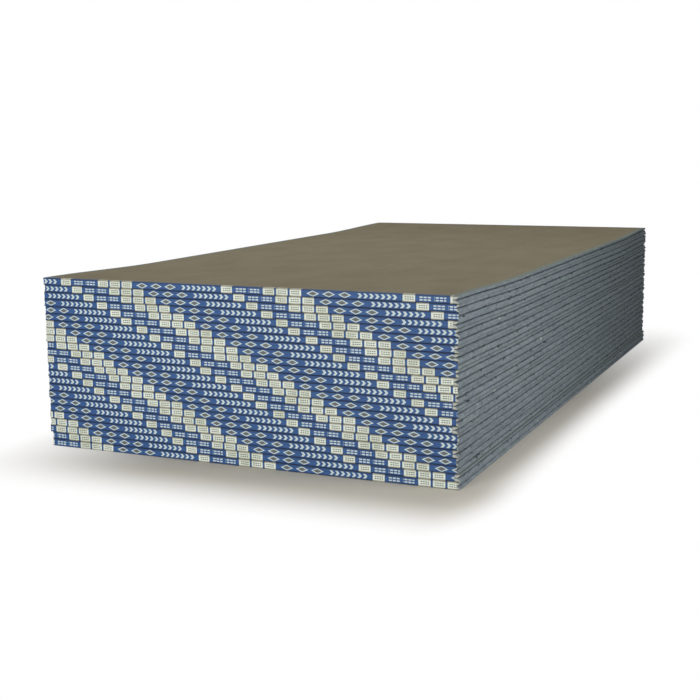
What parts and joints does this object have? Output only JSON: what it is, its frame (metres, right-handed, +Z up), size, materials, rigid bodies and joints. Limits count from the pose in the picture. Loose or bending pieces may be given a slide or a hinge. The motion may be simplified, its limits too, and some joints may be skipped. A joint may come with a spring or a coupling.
{
  "type": "drywall sheet stack",
  "caption": "Flat stack of tapered-edge drywall sheets, bound face to face in pairs by printed paper tape that is folded over both ends of each pair.",
  "frame": {"origin": "middle of the underside, on the surface that the stack lies on", "axes": "+Z up, +Y along the sheets from the near end to the far end, +X across the sheets"},
  "size_m": [1.2268, 2.4424, 0.48],
  "materials": {
    "sheet": "matte",
    "end_tape": "satin"
  },
  "bodies": {
    "root": {"sheet_01": "sheet", "sheet_02": "sheet", "sheet_03": "sheet", "sheet_04": "sheet", "sheet_05": "sheet", "sheet_06": "sheet", "sheet_07": "sheet", "sheet_08": "sheet", "sheet_09": "sheet", "sheet_10": "sheet", "sheet_11": "sheet", "sheet_12": "sheet", "sheet_13": "sheet", "sheet_14": "sheet", "sheet_15": "sheet", "sheet_16": "sheet", "sheet_17": "sheet", "sheet_18": "sheet", "sheet_19": "sheet", "sheet_20": "sheet", "sheet_21": "sheet", "sheet_22": "sheet", "sheet_23": "sheet", "sheet_24": "sheet", "sheet_25": "sheet", "sheet_26": "sheet", "sheet_27": "sheet", "sheet_28": "sheet", "sheet_29": "sheet", "sheet_30": "sheet", "sheet_31": "sheet", "sheet_32": "sheet", "sheet_33": "sheet", "sheet_34": "sheet", "sheet_35": "sheet", "sheet_36": "sheet", "sheet_37": "sheet", "sheet_38": "sheet", "sheet_39": "sheet", "sheet_40": "sheet", "sheet_41": "sheet", "sheet_42": "sheet", "sheet_43": "sheet", "sheet_44": "sheet", "sheet_45": "sheet", "sheet_46": "sheet", "sheet_47": "sheet", "sheet_48": "sheet", "near_end_tapes": "end_tape", "far_end_tapes": "end_tape"}
  },
  "joints": []
}
